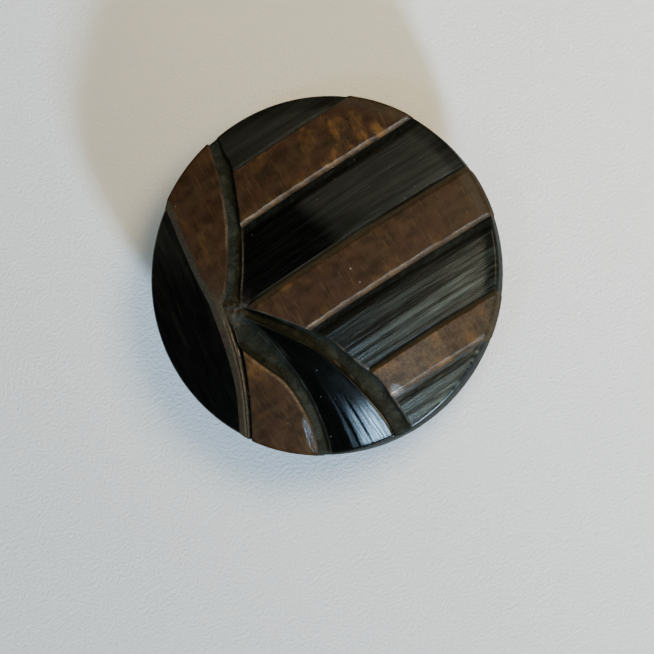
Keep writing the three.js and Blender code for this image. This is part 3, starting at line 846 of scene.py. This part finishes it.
def make_band(node, feet):
    low_foot, low_top, high_top, high_foot = feet
    plan = across_band(feet, band_shares(feet), 170)
    x, y = plan[..., 0], plan[..., 1]
    along, across, rim = plan @ ALONG, plan @ ACROSS, np.hypot(x, y)

    # How far up each bevel a point is, on edges that sway a little
    sway = 0.07 * noise(along / 2.2, 0, 23) + 0.04 * noise(along / 0.6, 0, 24)
    low = np.clip((across - low_foot - 0.14) / (low_top - low_foot - 0.14 + sway), 0, 1)
    high = np.clip((high_foot - across) / (high_foot - high_top + 0.6 * sway), 0, 1)
    rounded = np.minimum(low**0.8 - 0.12 * low**6, high - 0.10 * high**6)
    crest = np.minimum(1, 0.88 + 0.12 * np.clip((across - low_top) / 0.30, 0, 1))
    crest = np.minimum(crest, 0.90 + 0.10 * np.clip((high_top - across) / 0.35, 0, 1))
    lift = np.minimum(rounded, crest) * cliff(inside_fan(x, y))

    at_fan = 1 - step(0.0, 0.16, inside_fan(x, y))
    # painted highlight: the pale bevel lies on the lower side, which faces the window, and at the band's ends;
    # it is partly wear
    bevel = step(0.98, 0.80, low) * (0.62 + 0.38 * noise(along / 0.8, across * 0, 26))
    bevel = bevel * (0.40 + 0.60 * step(0.10, 0.55, low)) + 0.35 * at_fan
    near_low = np.exp(-np.maximum(across - low_top, 0) / 0.55)
    near_high = np.exp(-np.maximum(high_top - across, 0) / 0.55)
    gold = 0.08 + 0.50 * near_low + 0.80 * near_high * step(10, 2, along)
    if node == "brown_upper_band":
        gold = gold + 0.75 * step(4, 8, along) * step(17.5, 14, along)
    # The lower band is paler and more golden, most of all at its left: partly its own colour and partly
    # painted reflection
    if node == "brown_lower_band":
        gold = gold + 0.30
        bevel = np.maximum(bevel, 0.30 - 0.14 * step(11, 15, x))
    grey = 0.85 * step(0.95, 0.45, high) + 0.4 * step(17.4, 18.4, rim)

    # Only the lower band is polished, most of all at its corner
    sheen = 0.29 * step(-3, -8, across) * step(18, 16, rim) * step(0.9, 1.0, low)
    sheen = sheen * (1 - 0.6 * step(10, 15, x))
    corner = step(1.1, 0.3, np.hypot(x - POLISHED_CORNER[0], y - POLISHED_CORNER[1]))
    looks = {"bevel": bevel, "gold": gold, "grey": np.clip(grey, 0, 0.9), "sheen": np.maximum(sheen, corner)}
    island(node, plan, lift, **looks)


def make_upper_leaf():
    plan = between(LEAF_RIGHT, LEAF_LEFT, dense_ends(48), 150)
    x, y = plan[..., 0], plan[..., 1]
    from_left, from_groove = leaf_left(x, y), -leaf_right(x, y)
    slope = np.clip(from_left / SLOPE_WIDE, 0, 1)
    lift = 0.9 * slope
    lift = np.minimum(lift, cliff(from_groove))
    at_groove = 1 - step(0.02, 0.22, from_groove)
    bevel = at_groove * (0.12 + 0.42 * step(9.5, 7.5, y) * step(2.0, 4.0, y))
    grey = 0.85 * step(1.0, 0.75, slope) + 0.25 * (1 - step(-3.1, 2.5, y)) + 0.5 * step(-1.6, -3.1, y)
    grey = np.clip(grey, 0, 1) * (1 - 0.6 * at_groove)
    gold = 0.14 + 0.35 * np.exp(-np.maximum(from_left - SLOPE_WIDE, 0) / 0.6) + 0.16 * (1 - step(3, 8, y))
    island("brown_upper_leaf", plan, lift, bevel=bevel, gold=gold, grey=grey, sheen=0 * x)


def make_lower_leaf():
    plan = between(LOWER_LEAF_LEFT, LOWER_LEAF_RIGHT, dense_ends(60), 130)
    x, y = plan[..., 0], plan[..., 1]
    inward = -lower_right(x, y)
    facet_wide = 0.98 * step(-14.0, -16.2, y) * (1 - 0.45 * step(-17.6, -18.9, y))
    facet = np.clip((facet_wide - inward) / np.maximum(facet_wide, 0.05), 0, 1) * facet_wide * FACET_SLOPE
    facet = facet + FACET_DIP * np.maximum(-14.6 - y, 0) * np.clip((facet_wide - inward) / 0.15, 0, 1)
    worn = 0.30 * (1 - np.clip(inward / (0.40 - 0.28 * step(0.3, 0.7, facet_wide)), 0, 1)) ** 2
    lift = np.minimum(1 - facet / BROWN_DEPTH - worn, cliff(lower_left(x, y), 0.45, 0.2))
    polished = step(0.0, 0.12, facet_wide - inward) * step(0.04, 0.14, inward) * step(0.3, 0.6, facet_wide)
    scratched = noise(inward / 0.11, (y + 0.3 * x) / 3.0, 27)
    at_tip = step(-12.5, -9.5, y)
    bevel = (0.35 + 0.4 * at_tip) * step(0.45, 0.1, inward) + 0.5 * (1 - step(0.05, 0.2, lower_left(x, y)))
    gold = 0.10 + 0.50 * at_tip + 0.3 * np.exp(-np.maximum(inward - 0.3, 0) / 0.5)
    looks = {
        "bevel": np.clip(bevel, 0, 1) * (1 - polished), "gold": gold * (1 - 0.6 * polished),
        "grey": 0.15 * step(0.6, 0.0, inward), "sheen": polished * step(-0.45, 0.15, scratched),
    }
    island("brown_lower_leaf", plan, lift, **looks)


def make_stem():
    plan = between(STEM_LEFT, STEM_RIGHT, dense_ends(34, 1.3), 160)
    x, y = plan[..., 0], plan[..., 1]
    from_left, from_right = np.maximum(stem_left(x, y), 0), np.maximum(-stem_right(x, y), 0)
    lift = np.minimum(0.9 * np.clip(from_left / SLOPE_WIDE, 0, 1), 0.84)
    nick = bell(from_right - 0.26, 0.10) * step(-4.4, -6.0, y)
    lift = lift - 0.45 * nick - 0.25 * (1 - step(0.0, 0.12, from_right))
    line = step(0.20, 0.12, from_right) * step(-4.6, -6.0, y) * step(-13.5, -11.5, y)
    grey = 0.80 + 0.12 * noise(x / 1.5, y / 1.5, 25) - 0.5 * line
    bevel, grey = 0.20 + 0.7 * line - 0.2 * nick, grey * (1 - 0.2 * nick)
    island("brown_stem", plan, np.clip(lift, 0, 1), bevel=bevel, gold=0.2 + 0 * x, grey=grey, sheen=0 * x)


# ------------------------------------ shank

WIRE_RADIUS = (loop_high.y - loop_low.y) / 2 / MM
LOOP_HALF = 2.6  # radius of the loop's arch, and half the distance between its legs
FOOT_BEND = 0.9
FOOT_Z = loop_high.z / MM - WIRE_RADIUS


def make_loop():
    low_z = loop_low.z / MM
    arch_z = low_z + WIRE_RADIUS + LOOP_HALF
    foot_x = loop_high.x / MM - 0.01
    bend_z = FOOT_Z - FOOT_BEND
    half = [(foot_x, FOOT_Z), (LOOP_HALF + FOOT_BEND, FOOT_Z)]
    for t in np.linspace(0, math.pi / 2, 10)[1:]:
        half.append((LOOP_HALF + FOOT_BEND * (1 - math.sin(t)), FOOT_Z - FOOT_BEND * (1 - math.cos(t))))
    half += [(LOOP_HALF, z) for z in np.linspace(bend_z, arch_z, 10)[1:]]
    for t in np.linspace(0, math.pi / 2, 24)[1:]:
        half.append((LOOP_HALF * math.cos(t), arch_z - LOOP_HALF * math.sin(t)))
    path = np.array(half + [(-px, pz) for px, pz in half[-2::-1]])
    ahead = np.gradient(path, axis=0)
    ahead /= np.hypot(ahead[:, 0], ahead[:, 1])[:, None]
    side = np.column_stack([-ahead[:, 1], ahead[:, 0]])
    turns = np.linspace(0, 2 * math.pi, 28, endpoint=False)
    radius = WIRE_RADIUS - 0.008 - 0.006 * noise(np.arange(len(path))[:, None] / 5, turns / 0.8, 31)
    offset = radius * np.cos(turns)
    rows = np.dstack([
        path[:, :1] + side[:, :1] * offset,
        radius * np.sin(turns),
        path[:, 1:] + side[:, 1:] * offset,
    ])
    points, faces = capped_tube(rows, rows[0].mean(0), rows[-1].mean(0))
    make("shank_loop_bent", "shank_loop", "brass_wire", wire_brass, points, faces, sharp=60)


def make_plate():
    """A thin disc with a pressed ring near its edge."""
    outer = (plate_high.x - plate_low.x) / 2 / MM
    low, high = plate_low.z / MM, plate_high.z / MM
    section = [
        (0, low), (1.2, low), (4.3, low), (4.45, low + 0.03), (4.7, low + 0.03), (4.85, low), (5.35, low),
        (5.5, low + 0.04), (outer, low + 0.15), (outer, high), (0, high),
    ]
    lathe("shank_plate_turned", "shank_plate", "brass_plate", plate_brass, section)


def make_plug():
    outer = (plug_high.x - plug_low.x) / 2 / MM
    low, high = plug_low.z / MM, plug_high.z / MM
    section = [
        (0, low), (outer - 0.1, low), (outer, low + 0.1), (outer, high - 0.2), (outer - 0.2, high), (0, high),
    ]
    lathe("cement_plug_set", "cement_plug", "cement", cement, section)


def lathe(name, node, slot, material, section, turns=96):
    """A turned piece from a section of (radius, height) points that starts and ends on the axis."""
    angle = np.linspace(0, 2 * math.pi, turns, endpoint=False)
    body = np.array(section[1:-1], float)
    rows = np.dstack([
        body[:, :1] * np.cos(angle), body[:, :1] * np.sin(angle), np.repeat(body[:, 1:], turns, 1),
    ])
    points, faces = capped_tube(rows, (0, 0, section[0][1]), (0, 0, section[-1][1]))
    make(name, node, slot, material, points, faces, sharp=35)


make_black_body()
for band_node, band_feet in BANDS.items():
    make_band(band_node, band_feet)
make_upper_leaf()
make_lower_leaf()
make_stem()
make_loop()
make_plate()
make_plug()


# ------------------------------------ floor, camera, light

FLOOR_HALF = 1.5
PAPER_DARK, PAPER_PALE = (0.90, 0.90, 0.89), (0.93, 0.93, 0.92)
PAPER_PAINTED_SHADE = (0.635, 0.64, 0.64)  # painted shade: the paper is darkened to this towards its lower left
# painted shade: the first of these darkens the low pits of the paper's tooth
PAPER_PIT_SHADE, PAPER_SPECK = (0.60, 0.60, 0.59), (0.42, 0.40, 0.37)


def make_floor():
    """A sheet of rough white paper that the button stands on."""
    mesh = bpy.data.meshes.new("floor")
    half, z = FLOOR_HALF, cad_bounds[0][2]
    corners = [(-half, -half, z), (half, -half, z), (half, half, z), (-half, half, z)]
    mesh.from_pydata(corners, [], [(0, 1, 2, 3)])
    g = Graph("paper")
    place = g.place()
    tooth = g.lumps(place, 2.9, 5, 0.68)
    cloud = g.lumps(place, 0.03, 3)
    colour = g.mix(g.span(cloud, 0.3, 0.7), PAPER_DARK, PAPER_PALE)
    spot = g.add("TexCoord", {}, "Object")
    shade_sweep = g.add("VectorMath", {0: spot, 1: (0.7, 0.7, 0)}, "Value", operation="DOT_PRODUCT")
    # painted shade: darker towards the lower left, lighter towards the upper right
    colour = g.mix(g.span(shade_sweep, 0.040, -0.055), colour, PAPER_PAINTED_SHADE)
    # painted shade in the low pits of the paper's tooth
    colour = g.mix(g.span(tooth, 0.30, 0.45, 0.10, 0.0), colour, PAPER_PIT_SHADE)
    colour = g.mix(g.specks(place, 0.05, 0.16, 0.55), colour, PAPER_SPECK)
    mesh.materials.append(g.finish(Base_Color=colour, Roughness=0.95, Normal=g.bump(tooth, 0.17, 1.0)))
    floor = bpy.data.objects.new("floor", mesh)
    bpy.context.scene.collection.objects.link(floor)


CAMERA_AWAY = 1.0
VIEW_WIDTH = 0.0684
FRAME_RIGHT, FRAME_DOWN = 0.00042, 0.00550  # how far off the button's centre the picture is centred
# The camera looks down on the front from 16 degrees off its axis, to its right and a little below
LOOK_RIGHT = Vector((0.9650, 0.0160, -0.2606)).normalized()
LOOK_BACK = Vector((0.261, -0.0895, 0.961)).normalized()
LOOK_UP = LOOK_BACK.cross(LOOK_RIGHT).normalized()


def make_camera():
    data = bpy.data.cameras.new("camera")
    data.sensor_width = 36
    data.lens = data.sensor_width * CAMERA_AWAY / VIEW_WIDTH
    data.clip_start, data.clip_end = 0.01, 10
    camera = bpy.data.objects.new("camera", data)
    rim_plane = Vector((0, 0, (TOP_Z - DOME_RISE) * MM))
    target = rim_plane + LOOK_RIGHT * FRAME_RIGHT - LOOK_UP * FRAME_DOWN
    right = LOOK_UP.cross(LOOK_BACK)
    turn = Matrix((right, LOOK_UP, LOOK_BACK)).transposed().to_4x4()
    camera.matrix_world = Matrix.Translation(target + LOOK_BACK * CAMERA_AWAY) @ turn
    bpy.context.scene.collection.objects.link(camera)
    bpy.context.scene.camera = camera


def softbox(name, centre, width, height, radiance, colour):
    """A rectangular soft light that faces the object, at a place and of a size in metres."""
    data = bpy.data.lights.new(name, "AREA")
    data.shape = "RECTANGLE"
    data.size, data.size_y = width, height
    data.energy = radiance * math.pi * width * height
    data.color = colour
    lamp = bpy.data.objects.new(name, data)
    lamp.location = centre
    lamp.rotation_mode = "QUATERNION"
    lamp.rotation_quaternion = Vector(centre).to_track_quat("Z", "Y")
    bpy.context.scene.collection.objects.link(lamp)


def make_world():
    """A dim room that is pale near the horizon."""
    world = bpy.data.worlds.new("room")
    world.use_nodes = True
    tree = world.node_tree
    direction = tree.nodes.new("ShaderNodeTexCoord").outputs["Generated"]
    parts = tree.nodes.new("ShaderNodeSeparateXYZ")
    tree.links.new(direction, parts.inputs[0])
    fade = tree.nodes.new("ShaderNodeMapRange")
    fade.interpolation_type = "SMOOTHSTEP"
    tree.links.new(parts.outputs["Z"], fade.inputs["Value"])
    for key, value in (("From Min", 0.08), ("From Max", 0.32), ("To Min", 0.8), ("To Max", 0.035)):
        fade.inputs[key].default_value = value
    background = tree.nodes["Background"]
    background.inputs["Color"].default_value = (0.95, 0.97, 1.0, 1)
    tree.links.new(fade.outputs[0], background.inputs["Strength"])
    bpy.context.scene.world = world


def make_lights():
    softbox("window", (0.365, -0.652, 0.287), 0.085, 0.085, 740.0, (0.56, 0.77, 1.0))
    softbox("lamp", (0.152, 0.072, 0.262), 0.12, 0.12, 22.0, (1.0, 0.81, 0.48))
    softbox("skylight", (-0.076, -0.236, 0.69), 0.062, 0.060, 52.0, (0.42, 0.70, 1.0))
    softbox("low_ceiling", (0.045, -0.125, 0.72), 0.24, 0.24, 2.1, (0.86, 1.0, 0.80))
    softbox("ceiling", (0.13, 0.11, 0.72), 0.44, 0.22, 0.62, (0.90, 1.0, 0.88))
    softbox("far_ceiling", (0.12, 0.37, 0.70), 0.72, 0.38, 0.30, (1.0, 0.97, 0.76))
    softbox("side_ceiling", (-0.29, 0.375, 0.62), 0.28, 0.20, 0.36, (1.0, 0.97, 0.78))


make_floor()
make_camera()
make_lights()
make_world()

bpy.context.view_layer.update()
